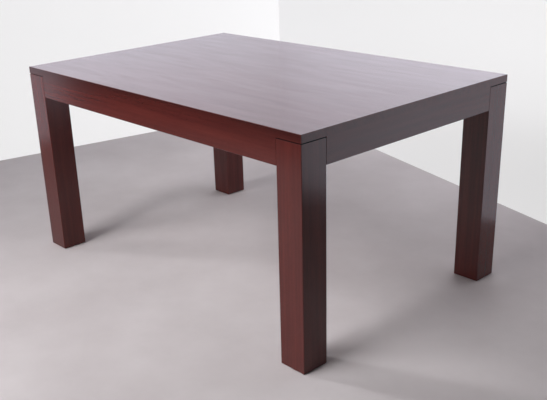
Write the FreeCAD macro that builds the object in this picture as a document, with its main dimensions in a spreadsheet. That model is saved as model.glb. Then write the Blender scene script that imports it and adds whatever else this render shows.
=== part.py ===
import FreeCAD, Part
import math
import os
from collections import namedtuple

import Sketcher
from FreeCAD import Placement, Rotation, Vector

# A flush-edged dining table of stained hardwood that comes apart for carriage.
# The boards of the top, the aprons, the cross rails and the corner blocks stay together as one frame.
# Each leg is drawn into its corner by two hanger bolts, whose nuts pull on a diagonal corner block.
# The origin is on the floor under the middle of the top: X runs along the long sides, Y from the front
# to the back, and Z up. All sizes are in millimetres.

SIZES = {
    # Overall
    "table_length": 1500,
    "table_width": 1000,
    "table_height": 750,
    # Top, of boards glued edge to edge with stopped tongues
    "top_thickness": 25,
    "board_count": 7,
    "top_arris": 2,
    "tongue_thickness": 8,
    "tongue_depth": 8,
    "tongue_stop": 30,
    "joint_clearance": 0.15,
    # Legs, each with a narrow groove round its head and a sawn flat for the bolts
    "leg_width": 100,
    "leg_arris": 2,
    "reveal_height": 3,
    "reveal_depth": 2.5,
    "shoulder_bevel": 1,
    "bolt_flat": 34,
    # Aprons
    "apron_height": 83,
    "apron_thickness": 25,
    "apron_bevel": 0.6,
    "leg_gap": 0.3,
    # Corner blocks, clear of the leg so that the nuts can draw it tight
    "block_gap": 3,
    "block_thickness": 32,
    "block_height": 70,
    # Hanger bolts with their washers and nuts
    "bolt_diameter": 8,
    "bolt_spacing": 36,
    "bolt_embed": 45,
    "bolt_tail": 6,
    "bolt_clearance": 0.5,
    "washer_width": 24,
    "washer_thickness": 2,
    "washer_clearance": 0.2,
    "nut_width": 13,
    "nut_height": 6.5,
    # Wood screws, one kind throughout, their length taken under the head
    "screw_diameter": 4,
    "screw_head": 8,
    "screw_head_height": 2.5,
    "screw_length": 40,
    "screw_skin": 4,
    "screw_clearance": 0.25,
    "corner_screw_spacing": 34,
    # Cross rails, tenoned into the long aprons
    "rail_offset": 260,
    "rail_thickness": 30,
    "rail_height": 60,
    "rail_bevel": 3,
    "tenon_thickness": 12,
    "tenon_length": 14,
    "tenon_shoulder": 8,
    # Glue blocks between the aprons and the top
    "glue_block_size": 25,
    "glue_block_length": 60,
    "glue_block_bevel": 6,
    "short_side_block_offset": 190,
    # Glides under the feet, each pressed in by its stem
    "glide_diameter": 30,
    "glide_thickness": 3,
    "glide_stem_diameter": 8,
    "glide_stem_length": 12,
}

doc = FreeCAD.newDocument("dining_table")
sheet = doc.addObject("Spreadsheet::Sheet", "dims")
for row, (alias, size) in enumerate(SIZES.items(), start=1):
    sheet.set(f"A{row}", alias)
    sheet.set(f"B{row}", str(size))
    sheet.setAlias(f"B{row}", alias)
doc.recompute()

# Places that several pieces share, as expressions on the sheet
UNDERSIDE = "(dims.table_height - dims.top_thickness)"
BOARD_WIDTH = "(dims.table_width / dims.board_count)"
HALF_DIAGONAL = "(dims.leg_width / sqrt(2))"
# Distances along the diagonal, inwards from the outer corner of a leg
FLAT_AT = "(dims.leg_width * sqrt(2) - dims.bolt_flat / 2)"
BLOCK_OUTER_AT = f"({FLAT_AT} + dims.block_gap)"
BLOCK_INNER_AT = f"({BLOCK_OUTER_AT} + dims.block_thickness)"
NUT_AT = f"({BLOCK_INNER_AT} + dims.washer_thickness)"
APRON_DIAGONAL = "(dims.apron_thickness * sqrt(2))"
# How far a corner block reaches along an apron from the outer corner
BLOCK_REACH = f"({BLOCK_INNER_AT} * sqrt(2) - dims.apron_thickness)"
# What a screw head bears on: every screw stops one skin short of the far face of the wood that it bites
SEAT_UNDER_TOP = "(dims.screw_length - dims.top_thickness + dims.screw_skin)"
SEAT_BEHIND_APRON = "(dims.screw_length - dims.apron_thickness + dims.screw_skin)"

UP = Vector(0, 0, 1)
DOWN = Vector(0, 0, -1)
UPPER_AND_LOWER = {"upper": 1, "lower": -1}
LEFT_AND_RIGHT = {"left": -1, "right": 1}
# Edges within this of a plane count as lying in it.
TOUCH = 1e-4

# The sides go round the table from the front, each turned a quarter turn from the one before.
# along is the size that the side runs along, and across the size between it and the opposite side.
Side = namedtuple("Side", "name angle cosine sine along across")
SIDES = [
    Side("front", 0, 1, 0, "table_length", "table_width"),
    Side("right", 90, 0, 1, "table_width", "table_length"),
    Side("back", 180, -1, 0, "table_length", "table_width"),
    Side("left", 270, 0, -1, "table_width", "table_length"),
]
# Side number k runs from corner k to corner k + 1. The angle is that of the diagonal inwards.
Corner = namedtuple("Corner", "name angle x_sign y_sign")
CORNERS = [
    Corner("front_left", 45, -1, -1),
    Corner("front_right", 135, 1, -1),
    Corner("back_right", 225, 1, 1),
    Corner("back_left", 315, -1, 1),
]


def side_point(side, along, inward, height):
    """A point beside an apron: along it from its middle, inward from its outer face."""
    depth = f"({inward} - dims.{side.across} / 2)"
    x = f"{side.cosine} * ({along}) - {side.sine} * {depth}"
    y = f"{side.sine} * ({along}) + {side.cosine} * {depth}"
    return x, y, height


def corner_point(corner, reach, height):
    """A point on the diagonal of a corner, reach inwards from the outer corner."""
    x = f"{corner.x_sign} * (dims.table_length / 2 - {reach} / sqrt(2))"
    y = f"{corner.y_sign} * (dims.table_width / 2 - {reach} / sqrt(2))"
    return x, y, height


def inward_of(corner):
    return Vector(-corner.x_sign, -corner.y_sign, 0)


def outward_of(side):
    return Vector(side.sine, -side.cosine, 0)


# Drawing and shaping

def place(piece, point, rotation=Rotation()):
    piece.Placement = Placement(Vector(), rotation)
    for axis, expression in zip("xyz", point):
        piece.setExpression(f"Placement.Base.{axis}", expression)


def new_sketch(body, name, role, offset=None):
    plane = next(feature for feature in body.Origin.OriginFeatures if feature.Role == role)
    sketch = body.newObject("Sketcher::SketchObject", f"{body.Name}_{name}")
    sketch.AttachmentSupport = [(plane, "")]
    sketch.MapMode = "FlatFace"
    if offset:
        sketch.setExpression("AttachmentOffset.Base.z", offset)
    return sketch


def bind(sketch, constraint, expression):
    number = sketch.addConstraint(constraint)
    name = f"size_{number}"
    sketch.renameConstraint(number, name)
    sketch.setExpression(f"Constraints.{name}", expression)


def draw_polygon(sketch, corners):
    """A closed outline of straight lines through corners whose two places are expressions."""
    first = sketch.GeometryCount
    count = len(corners)
    step = 2 * math.pi / count
    starts = [Vector(math.cos(step * k), math.sin(step * k), 0) for k in range(count)]
    for k in range(count):
        sketch.addGeometry(Part.LineSegment(starts[k], starts[(k + 1) % count]))
    for k in range(count):
        following = first + (k + 1) % count
        sketch.addConstraint(Sketcher.Constraint("Coincident", first + k, 2, following, 1))
    for k, (x, y) in enumerate(corners):
        bind(sketch, Sketcher.Constraint("DistanceX", -1, 1, first + k, 1, 1.0), x)
        bind(sketch, Sketcher.Constraint("DistanceY", -1, 1, first + k, 1, 1.0), y)


def draw_rectangle(sketch, left, right, bottom, top):
    draw_polygon(sketch, [(left, bottom), (right, bottom), (right, top), (left, top)])


def draw_circle(sketch, x, y, diameter):
    number = sketch.addGeometry(Part.Circle(Vector(1, 1, 0), UP, 1.0))
    bind(sketch, Sketcher.Constraint("DistanceX", -1, 1, number, 3, 1.0), x)
    bind(sketch, Sketcher.Constraint("DistanceY", -1, 1, number, 3, 1.0), y)
    bind(sketch, Sketcher.Constraint("Diameter", number, 2.0), diameter)


def pad(body, sketch, length, symmetric=False, downwards=False):
    feature = body.newObject("PartDesign::Pad", f"{sketch.Name}_pad")
    feature.Profile = sketch
    feature.SideType = "Symmetric" if symmetric else "One side"
    feature.Reversed = downwards
    feature.setExpression("Length", length)
    doc.recompute()


def pocket(body, sketch, length, symmetric=False, turned_round=False):
    before = body.Tip.Shape.Volume
    feature = body.newObject("PartDesign::Pocket", f"{sketch.Name}_pocket")
    feature.Profile = sketch
    feature.SideType = "Symmetric" if symmetric else "One side"
    feature.Reversed = turned_round
    feature.setExpression("Length", length)
    doc.recompute()
    if feature.Shape.Volume > before - TOUCH:
        raise RuntimeError(f"{feature.Name} cuts nothing")


def turned_piece(name, profile):
    """A body turned about its own Z axis. The profile gives radius and height."""
    body = doc.addObject("PartDesign::Body", name)
    sketch = new_sketch(body, "profile", "XZ_Plane")
    draw_polygon(sketch, profile)
    feature = body.newObject("PartDesign::Revolution", f"{name}_turned")
    feature.Profile = sketch
    feature.ReferenceAxis = (sketch, ["V_Axis"])
    feature.Angle = 360
    doc.recompute()
    return body


def lies_on(edge_box, whole_box, axis, end):
    """Whether an edge lies in the lowest or highest plane of a piece's box along an axis."""
    if end == "max":
        return abs(getattr(edge_box, f"{axis}Min") - getattr(whole_box, f"{axis}Max")) < TOUCH
    return abs(getattr(edge_box, f"{axis}Max") - getattr(whole_box, f"{axis}Min")) < TOUCH


def edges_of(body, *groups):
    """Names of the edges on all the sides in one of the groups, such as {"X": "min", "Z": "max"}."""
    shape = body.Tip.Shape
    whole_box = shape.BoundBox
    names = []
    for number, edge in enumerate(shape.Edges, start=1):
        edge_box = edge.BoundBox
        if any(all(lies_on(edge_box, whole_box, *side) for side in group.items()) for group in groups):
            names.append(f"Edge{number}")
    return names


def upright_edges_of(body):
    shape = body.Tip.Shape
    full = shape.BoundBox.ZLength
    return [f"Edge{number}" for number, edge in enumerate(shape.Edges, start=1)
            if abs(edge.BoundBox.ZLength - full) < TOUCH]


def round_edges(body, radius, edges):
    base = body.Tip
    feature = body.newObject("PartDesign::Fillet", f"{base.Name}_rounded")
    feature.Base = (base, edges)
    feature.setExpression("Radius", radius)
    doc.recompute()


def bevel_edges(body, size, edges):
    base = body.Tip
    feature = body.newObject("PartDesign::Chamfer", f"{base.Name}_bevelled")
    feature.Base = (base, edges)
    feature.setExpression("Size", size)
    doc.recompute()


def copy_of(master, name, point, rotation=Rotation()):
    link = doc.addObject("App::Link", name)
    link.LinkedObject = master
    place(link, point, rotation)
    return link


def group_of(name, members):
    group = doc.addObject("Part::Compound", name)
    group.Links = members
    return group


def drilled(piece, name, drills):
    cut = doc.addObject("Part::Cut", f"{name}_drilled")
    cut.Base = piece
    cut.Tool = drills
    return cut


nodes = {}


def keep(name, piece):
    piece.Label = name
    nodes[name] = piece


# Wood screw, and the two drills for it. All three point down, with the seat of the head at Z = 0.
# The screws are many and small, so they have flat sides instead of round ones.
SCREW_SIDES = 6
SCREW_RADIUS = "dims.screw_diameter / 2"
HEAD_RADIUS = "dims.screw_head / 2"


def bar(name, radius, bottom, height):
    prism = doc.addObject("Part::Prism", name)
    prism.Polygon = SCREW_SIDES
    prism.setExpression("Circumradius", radius)
    prism.setExpression("Height", height)
    prism.setExpression("Placement.Base.z", bottom)
    return prism


def stepped_bar(name, upper, lower):
    fuse = doc.addObject("Part::Fuse", name)
    fuse.Base = upper
    fuse.Tool = lower
    return fuse


screw = stepped_bar(
    "wood_screw",
    bar("screw_head", HEAD_RADIUS, "0", "dims.screw_head_height"),
    bar("screw_shank", SCREW_RADIUS, "-dims.screw_length", "dims.screw_length"))
# The upper part lets the head in from the far side of any piece, so it is as long as an apron is high.
clearance_drill = stepped_bar(
    "clearance_drill",
    bar("head_drill", f"{HEAD_RADIUS} + dims.screw_clearance", "0", "dims.apron_height"),
    bar("shank_drill", f"{SCREW_RADIUS} + dims.screw_clearance", "-dims.screw_length", "dims.screw_length"))
# A copy takes its own place instead of the bar's, so the bar goes into a group of one.
PILOT_DEPTH = "(dims.screw_length + dims.screw_clearance)"
pilot_drill = group_of("pilot_drill", [bar("pilot_bar", SCREW_RADIUS, f"-{PILOT_DEPTH}", PILOT_DEPTH)])

# A place for a screw: the seat of its head, and the way that it points
Site = namedtuple("Site", "name point direction")


def at_sites(master, prefix, sites):
    return [copy_of(master, f"{prefix}_{site.name}", site.point, Rotation(DOWN, site.direction))
            for site in sites]


# Screw places, worked out once for the screws and for both of the pieces that each of them joins
BOARD_COUNT = int(round(sheet.board_count))


def board_middle(number):
    return f"(({number} + 0.5) * {BOARD_WIDTH} - dims.table_width / 2)"


def rail_sites(rail):
    """Screws up through a cross rail into every other board, counted from both edges of the top."""
    x = f"{LEFT_AND_RIGHT[rail]} * dims.rail_offset"
    height = f"{UNDERSIDE} - {SEAT_UNDER_TOP}"
    from_edge = {number: min(number, BOARD_COUNT - 1 - number) for number in range(BOARD_COUNT)}
    return [Site(f"rail_{rail}_{number + 1}", (x, board_middle(number), height), UP)
            for number in range(BOARD_COUNT) if from_edge[number] % 2]


def corner_sites(side, end):
    """The screws at one end of a side, through the ear of a corner block into the apron."""
    along = f"{end} * (dims.{side.along} / 2 - {BLOCK_REACH} + {SEAT_BEHIND_APRON} / 2)"
    inward = f"dims.apron_thickness + {SEAT_BEHIND_APRON}"
    sites = []
    for level, sign in UPPER_AND_LOWER.items():
        height = f"{UNDERSIDE} - dims.block_height / 2 + {sign} * dims.corner_screw_spacing / 2"
        name = f"{side.name}_{'first' if end < 0 else 'last'}_{level}"
        sites.append(Site(name, side_point(side, along, inward, height), outward_of(side)))
    return sites


# Boards of the top: front edge at Y = 0, underside at Z = 0

def make_board(number, pilots):
    first = number == 0
    last = number == BOARD_COUNT - 1
    board = doc.addObject("PartDesign::Body", f"board_{number + 1}")
    section = new_sketch(board, "section", "YZ_Plane")
    draw_rectangle(section, "0", BOARD_WIDTH, "0", "dims.top_thickness")
    pad(board, section, "dims.table_length", symmetric=True)
    rims = [{"X": "min", "Z": "max"}, {"X": "max", "Z": "max"}]
    for outermost, side in ((first, "min"), (last, "max")):
        if outermost:
            rims += [{"Y": side, "Z": "max"}, {"X": "min", "Y": side}, {"X": "max", "Y": side}]
    round_edges(board, "dims.top_arris", edges_of(board, *rims))
    middle = "dims.top_thickness / 2"
    if not last:
        tongue = new_sketch(board, "tongue", "YZ_Plane")
        half = "dims.tongue_thickness / 2"
        draw_rectangle(tongue, BOARD_WIDTH, f"{BOARD_WIDTH} + dims.tongue_depth - dims.joint_clearance",
                       f"{middle} - {half}", f"{middle} + {half}")
        pad(board, tongue, "dims.table_length - 2 * dims.tongue_stop", symmetric=True)
    if not first:
        groove = new_sketch(board, "groove", "YZ_Plane")
        half = "(dims.tongue_thickness / 2 + dims.joint_clearance)"
        draw_rectangle(groove, "0", "dims.tongue_depth", f"{middle} - {half}", f"{middle} + {half}")
        pocket(board, groove, "dims.table_length - 2 * dims.tongue_stop + 2 * dims.joint_clearance",
               symmetric=True)
    place(board, ("0", f"{number} * {BOARD_WIDTH} - dims.table_width / 2", UNDERSIDE))
    name = f"top_board_{number + 1}"
    keep(name, drilled(board, name, pilots))


top_sites = [site for rail in LEFT_AND_RIGHT for site in rail_sites(rail)]
top_pilots = group_of("pilot_holes_in_top", at_sites(pilot_drill, "pilot", top_sites))
for number in range(BOARD_COUNT):
    make_board(number, top_pilots)


# Aprons: outer face at Y = 0, top edge at Z = 0. Every edge is bevelled but those glued to the top.

def make_apron(side):
    apron = doc.addObject("PartDesign::Body", f"apron_{side.name}")
    section = new_sketch(apron, "section", "YZ_Plane")
    draw_rectangle(section, "0", "dims.apron_thickness", "-dims.apron_height", "0")
    pad(apron, section, f"dims.{side.along} - 2 * (dims.leg_width + dims.leg_gap)", symmetric=True)
    uprights = [{"X": end, "Y": face} for end in ("min", "max") for face in ("min", "max")]
    bevel_edges(apron, "dims.apron_bevel", edges_of(apron, {"Z": "min"}, *uprights))
    if side.along == "table_length":
        mortises = new_sketch(apron, "mortises", "XZ_Plane", offset="-dims.apron_thickness")
        half = "(dims.tenon_thickness / 2 + dims.joint_clearance)"
        for sign in LEFT_AND_RIGHT.values():
            middle = f"{sign} * dims.rail_offset"
            draw_rectangle(mortises, f"{middle} - {half}", f"{middle} + {half}",
                           "dims.tenon_shoulder - dims.rail_height - dims.joint_clearance",
                           "dims.joint_clearance - dims.tenon_shoulder")
        pocket(apron, mortises, "dims.tenon_length + dims.joint_clearance", turned_round=True)
    place(apron, side_point(side, "0", "0", UNDERSIDE), Rotation(UP, side.angle))
    sites = corner_sites(side, -1) + corner_sites(side, 1)
    pilots = group_of(f"pilot_holes_{side.name}", at_sites(pilot_drill, "pilot", sites))
    name = f"{side.name}_apron"
    keep(name, drilled(apron, name, pilots))


for side in SIDES:
    make_apron(side)


# Legs: X runs inwards along the diagonal from the outer corner, and the top of the head is at Z = 0.

def draw_leg_square(sketch, inset):
    """The leg's square section, standing on its corner, drawn in by an even margin."""
    near = f"{inset} * sqrt(2)"
    half = f"({HALF_DIAGONAL} - {near})"
    draw_polygon(sketch, [(near, "0"), (HALF_DIAGONAL, half),
                          (f"{HALF_DIAGONAL} + {half}", "0"), (HALF_DIAGONAL, f"-{half}")])


def bolt_level(sign):
    return f"({sign} * dims.bolt_spacing / 2 - dims.block_height / 2)"


def draw_bolt_holes(sketch, diameter):
    for sign in UPPER_AND_LOWER.values():
        draw_circle(sketch, "0", bolt_level(sign), diameter)


def make_leg(corner):
    leg = doc.addObject("PartDesign::Body", f"leg_{corner.name}")
    foot_at = f"(dims.glide_thickness - {UNDERSIDE})"
    post = new_sketch(leg, "post", "XY_Plane", offset="-dims.reveal_height")
    draw_leg_square(post, "0")
    pad(leg, post, f"-dims.reveal_height - {foot_at}", downwards=True)
    round_edges(leg, "dims.leg_arris", upright_edges_of(leg))
    bevel_edges(leg, "dims.shoulder_bevel", edges_of(leg, {"Z": "max"}))
    head = new_sketch(leg, "head", "XY_Plane")
    draw_leg_square(head, "dims.reveal_depth")
    pad(leg, head, "dims.reveal_height", downwards=True)
    flat = new_sketch(leg, "flat", "XY_Plane")
    draw_rectangle(flat, FLAT_AT, f"{FLAT_AT} + dims.bolt_flat", "-dims.bolt_flat", "dims.bolt_flat")
    pocket(leg, flat, "dims.apron_height")
    bolt_holes = new_sketch(leg, "bolt_holes", "YZ_Plane", offset=FLAT_AT)
    draw_bolt_holes(bolt_holes, "dims.bolt_diameter")
    pocket(leg, bolt_holes, "dims.bolt_embed + dims.bolt_clearance")
    stem_hole = new_sketch(leg, "stem_hole", "XY_Plane", offset=foot_at)
    draw_circle(stem_hole, HALF_DIAGONAL, "0", "dims.glide_stem_diameter")
    pocket(leg, stem_hole, "dims.glide_stem_length + dims.joint_clearance", turned_round=True)
    place(leg, corner_point(corner, "0", UNDERSIDE), Rotation(UP, corner.angle))
    keep(f"leg_{corner.name}", leg)


for corner in CORNERS:
    make_leg(corner)


# Corner blocks, in the same frame as the legs: the mitred ends bear on the two aprons, and beside each
# of them an ear, flat like the apron, takes the screws. The top edge is glued under the boards.

def make_corner_block(number):
    corner = CORNERS[number]
    block = doc.addObject("PartDesign::Body", f"block_{corner.name}")
    plan = new_sketch(block, "plan", "XY_Plane")
    ear = f"({SEAT_BEHIND_APRON} / sqrt(2))"
    inner_half = f"({BLOCK_INNER_AT} - {APRON_DIAGONAL})"
    half_plan = [
        (BLOCK_OUTER_AT, f"({BLOCK_OUTER_AT} - {APRON_DIAGONAL})"),
        (BLOCK_INNER_AT, inner_half),
        (f"{BLOCK_INNER_AT} + {ear}", f"({inner_half} - {ear})"),
        (BLOCK_INNER_AT, f"({inner_half} - 2 * {ear})"),
    ]
    draw_polygon(plan, [(x, f"-{y}") for x, y in half_plan] + half_plan[::-1])
    pad(block, plan, "dims.block_height", downwards=True)
    bolt_holes = new_sketch(block, "bolt_holes", "YZ_Plane", offset=BLOCK_INNER_AT)
    draw_bolt_holes(bolt_holes, "dims.bolt_diameter + 2 * dims.bolt_clearance")
    pocket(block, bolt_holes, "dims.block_thickness")
    place(block, corner_point(corner, "0", UNDERSIDE), Rotation(UP, corner.angle))
    sites = corner_sites(SIDES[number], -1) + corner_sites(SIDES[number - 1], 1)
    drills = group_of(f"screw_holes_{corner.name}", at_sites(clearance_drill, "drill", sites))
    name = f"corner_block_{corner.name}"
    keep(name, drilled(block, name, drills))


for number in range(len(CORNERS)):
    make_corner_block(number)

# Hanger bolt, washer and nut, each along its own Z axis. The bolt has the flat of the leg at Z = 0.
BOLT_RADIUS = "dims.bolt_diameter / 2"
BOLT_END = f"({NUT_AT} - {FLAT_AT} + dims.nut_height + dims.bolt_tail)"
hanger_bolt = turned_piece("hanger_bolt", [
    ("0", "-dims.bolt_embed"),
    (BOLT_RADIUS, "-dims.bolt_embed"),
    (BOLT_RADIUS, BOLT_END),
    ("0", BOLT_END),
])

# A square washer. It is drawn standing on its corner, because turning it to a diagonal then levels it.
HALF_WASHER = "dims.washer_width / sqrt(2)"
washer = doc.addObject("PartDesign::Body", "bolt_washer")
plate = new_sketch(washer, "plate", "XY_Plane")
draw_polygon(plate, [
    (HALF_WASHER, "0"),
    ("0", HALF_WASHER),
    (f"-{HALF_WASHER}", "0"),
    ("0", f"-{HALF_WASHER}"),
])
draw_circle(plate, "0", "0", "dims.bolt_diameter + 2 * dims.washer_clearance")
pad(washer, plate, "dims.washer_thickness")

NUT_SIDES = 6
NUT_CORNER_RADIUS = "dims.nut_width / sqrt(3)"
nut = doc.addObject("PartDesign::Body", "bolt_nut")
hexagon = new_sketch(nut, "hexagon", "XY_Plane")
nut_angles = [360 / NUT_SIDES * k for k in range(NUT_SIDES)]
draw_polygon(hexagon, [(f"{NUT_CORNER_RADIUS} * cos({angle})", f"{NUT_CORNER_RADIUS} * sin({angle})")
                       for angle in nut_angles])
draw_circle(hexagon, "0", "0", "dims.bolt_diameter")
pad(nut, hexagon, "dims.nut_height")


def at_bolts(master, name, reach):
    """Copies of a piece at all the hanger bolts, reach inwards from the outer corner of each leg."""
    copies = []
    for corner in CORNERS:
        for level, sign in UPPER_AND_LOWER.items():
            point = corner_point(corner, reach, f"{UNDERSIDE} + {bolt_level(sign)}")
            copies.append(copy_of(master, f"{name}_{corner.name}_{level}", point,
                                  Rotation(UP, inward_of(corner))))
    return group_of(f"{name}_set", copies)


keep("hanger_bolts", at_bolts(hanger_bolt, "hanger_bolts", FLAT_AT))
keep("bolt_washers", at_bolts(washer, "bolt_washers", BLOCK_INNER_AT))
keep("bolt_nuts", at_bolts(nut, "bolt_nuts", NUT_AT))


# Cross rails, with a stub tenon at each end: top edge at Z = 0

def make_rail(rail):
    body = doc.addObject("PartDesign::Body", f"rail_{rail}")
    section = new_sketch(body, "section", "XZ_Plane")
    draw_rectangle(section, "-dims.rail_thickness / 2", "dims.rail_thickness / 2", "-dims.rail_height", "0")
    pad(body, section, "dims.table_width - 2 * dims.apron_thickness", symmetric=True)
    lower = [{"X": "min", "Z": "min"}, {"X": "max", "Z": "min"}]
    bevel_edges(body, "dims.rail_bevel", edges_of(body, *lower))
    tenons = new_sketch(body, "tenons", "XZ_Plane")
    draw_rectangle(tenons, "-dims.tenon_thickness / 2", "dims.tenon_thickness / 2",
                   "dims.tenon_shoulder - dims.rail_height", "-dims.tenon_shoulder")
    pad(body, tenons, "dims.table_width - 2 * (dims.apron_thickness - dims.tenon_length)", symmetric=True)
    place(body, (f"{LEFT_AND_RIGHT[rail]} * dims.rail_offset", "0", UNDERSIDE))
    drills = group_of(f"screw_holes_rail_{rail}", at_sites(clearance_drill, "drill", rail_sites(rail)))
    name = f"cross_rail_{rail}"
    keep(name, drilled(body, name, drills))


for rail in LEFT_AND_RIGHT:
    make_rail(rail)

# Glue block: X along the apron, Y = 0 on its inner face and Z = 0 under the top
glue_block = doc.addObject("PartDesign::Body", "glue_block")
outline = new_sketch(glue_block, "outline", "YZ_Plane")
BEVEL_START = "(dims.glue_block_size - dims.glue_block_bevel)"
draw_polygon(outline, [("0", "0"), ("0", "-dims.glue_block_size"), (BEVEL_START, "-dims.glue_block_size"),
                       ("dims.glue_block_size", f"-{BEVEL_START}"), ("dims.glue_block_size", "0")])
pad(glue_block, outline, "dims.glue_block_length", symmetric=True)


def glue_block_places(side):
    """How far each glue block is from the middle of its side, clear of the rails and corner blocks."""
    if side.along == "table_width":
        return ["-dims.short_side_block_offset", "dims.short_side_block_offset"]
    inner = "dims.rail_offset / 2"
    outer = f"(dims.rail_offset + dims.table_length / 2 - {BLOCK_REACH}) / 2"
    return [f"-{outer}", f"-{inner}", inner, outer]


for side in SIDES:
    name = f"glue_blocks_{side.name}"
    blocks = [copy_of(glue_block, f"{name}_{k}", side_point(side, along, "dims.apron_thickness", UNDERSIDE),
                      Rotation(UP, side.angle))
              for k, along in enumerate(glue_block_places(side), start=1)]
    keep(name, group_of(f"{name}_row", blocks))

# All the wood screws, in one group for each use
all_corner_sites = [site for side in SIDES for end in (-1, 1) for site in corner_sites(side, end)]
keep("corner_block_screws", group_of("corner_block_screws_set", at_sites(screw, "screw", all_corner_sites)))
keep("cross_rail_screws", group_of("cross_rail_screws_set", at_sites(screw, "screw", top_sites)))

# Glides: a nylon disc with a stem, the floor at Z = 0
GLIDE_RADIUS = "dims.glide_diameter / 2"
STEM_RADIUS = "dims.glide_stem_diameter / 2"
STEM_END = "dims.glide_thickness + dims.glide_stem_length"
glide = turned_piece("foot_glide", [
    ("0", "0"),
    (GLIDE_RADIUS, "0"),
    (GLIDE_RADIUS, "dims.glide_thickness"),
    (STEM_RADIUS, "dims.glide_thickness"),
    (STEM_RADIUS, STEM_END),
    ("0", STEM_END),
])
glides = [copy_of(glide, f"glide_{corner.name}", corner_point(corner, HALF_DIAGONAL, "0"))
          for corner in CORNERS]
keep("foot_glides", group_of("foot_glides_set", glides))

# Check and write
doc.recompute()
for item in doc.Objects:
    if "Invalid" in item.State or "Error" in item.State:
        raise RuntimeError(f"{item.Name} failed: {item.State}")
for name, piece in nodes.items():
    if piece.Shape.isNull() or not piece.Shape.isValid():
        raise RuntimeError(f"{name} has no valid shape")
os.makedirs("parts", exist_ok=True)
for name, piece in nodes.items():
    piece.Shape.exportStep(f"parts/{name}.step")
    print(f"{name}: {len(piece.Shape.Solids)} solids, {piece.Shape.Volume / 1000:.1f} cm3")
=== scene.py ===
# %% [markdown]
# # A dining table with flush legs
# The table is stained hardwood under a satin lacquer. Its boards, aprons and legs come ready as solids in
# one shared frame, in metres: X runs along the long sides, Y from the front to the back, and Z up. This
# lesson gives each solid its finish, models the small steel and nylon pieces, and lights the table as it
# stands in the photograph.

# %% Load the solids
import bpy
import math
from mathutils import Matrix, Vector


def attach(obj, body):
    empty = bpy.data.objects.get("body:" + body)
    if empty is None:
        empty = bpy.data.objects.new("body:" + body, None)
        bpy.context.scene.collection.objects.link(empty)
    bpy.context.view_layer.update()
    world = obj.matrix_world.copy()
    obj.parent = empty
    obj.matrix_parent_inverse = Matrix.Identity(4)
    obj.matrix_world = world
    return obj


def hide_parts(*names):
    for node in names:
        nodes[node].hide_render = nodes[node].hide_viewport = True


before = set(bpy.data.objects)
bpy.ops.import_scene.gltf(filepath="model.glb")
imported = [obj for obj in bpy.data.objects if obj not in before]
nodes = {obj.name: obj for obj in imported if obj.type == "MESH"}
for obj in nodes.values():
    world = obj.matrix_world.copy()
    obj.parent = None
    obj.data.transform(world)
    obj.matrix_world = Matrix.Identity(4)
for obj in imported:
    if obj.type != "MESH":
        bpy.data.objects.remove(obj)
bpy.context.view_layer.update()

# %% [markdown]
# ## The camera
# The photograph was taken at eye height from beyond the near corner, looking down a little. Its place was
# worked out from the corners of the table: where the edges run gives the direction, and how quickly they
# draw together gives the distance. The picture was cropped after it was taken, so the middle of the lens
# isn't the middle of the frame. A small shift of the camera gives the same crop.

# %% Place the camera
PICTURE_WIDTH, PICTURE_HEIGHT = 547, 400
EYE = Vector((2.298, -2.045, 1.366))
YAW, PITCH, ROLL = (math.radians(angle) for angle in (-48.42, 22.46, 2.08))
FOCAL_PIXELS = 840.4
LENS_MIDDLE = (256.6, 235.5)
SENSOR_WIDTH = 36

forward = Vector((math.sin(YAW) * math.cos(PITCH), math.cos(YAW) * math.cos(PITCH), -math.sin(PITCH)))
level = Vector((math.cos(YAW), -math.sin(YAW), 0))
upright = level.cross(forward)
across = level * math.cos(ROLL) - upright * math.sin(ROLL)
above = level * math.sin(ROLL) + upright * math.cos(ROLL)

bpy.ops.object.camera_add(location=EYE)
camera = bpy.context.object
camera.matrix_world = Matrix((across, above, -forward)).transposed().to_4x4()
camera.location = EYE
lens = camera.data
lens.sensor_fit = "HORIZONTAL"
lens.sensor_width = SENSOR_WIDTH
lens.lens = FOCAL_PIXELS * SENSOR_WIDTH / PICTURE_WIDTH
lens.shift_x = (PICTURE_WIDTH / 2 - LENS_MIDDLE[0]) / PICTURE_WIDTH
lens.shift_y = (LENS_MIDDLE[1] - PICTURE_HEIGHT / 2) / PICTURE_WIDTH
bpy.context.scene.camera = camera
print("lens", round(lens.lens, 2), "mm, shift", round(lens.shift_x, 3), round(lens.shift_y, 3))

# %% [markdown]
# ## Nodes for the finishes
# A finish is a small graph of nodes. One helper adds a node and fills its sockets, and a value that is
# itself the output of another node is linked. That keeps each finish readable as a list of steps. The
# colours are shown as they are written, without a film look, so that they can be compared with the
# photograph.

# %% Add a node
view = bpy.context.scene.view_settings
view.view_transform = "Standard"


def fill(tree, node, inputs):
    """Fill sockets by name or number. A value that is another node's output is linked."""
    for socket, value in inputs.items():
        if isinstance(value, bpy.types.NodeSocket):
            tree.links.new(value, node.inputs[socket])
        else:
            node.inputs[socket].default_value = value


def step(tree, kind, inputs, **settings):
    """Add a node, set what it has no socket for, and fill its sockets."""
    made = tree.nodes.new("ShaderNode" + kind)
    for setting, value in settings.items():
        setattr(made, setting, value)
    fill(tree, made, inputs)
    return made


def blank_finish(name):
    finish = bpy.data.materials.new(name)
    finish.use_nodes = True
    return finish, finish.node_tree, finish.node_tree.nodes["Principled BSDF"]


print("colours shown by", view.view_transform)

# %% [markdown]
# ## Steps that come again
# Wood, plating, nylon and paint all need the same few things: the place on the piece, a soft noise, a
# change of range, a length along a line, a product, a sum with weights, a ramp of colours and a mix of
# two. Each gets a short helper here.

# %% Helpers for finishes
def place_on_piece(tree):
    return step(tree, "TexCoord", {}).outputs["Object"]


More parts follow.
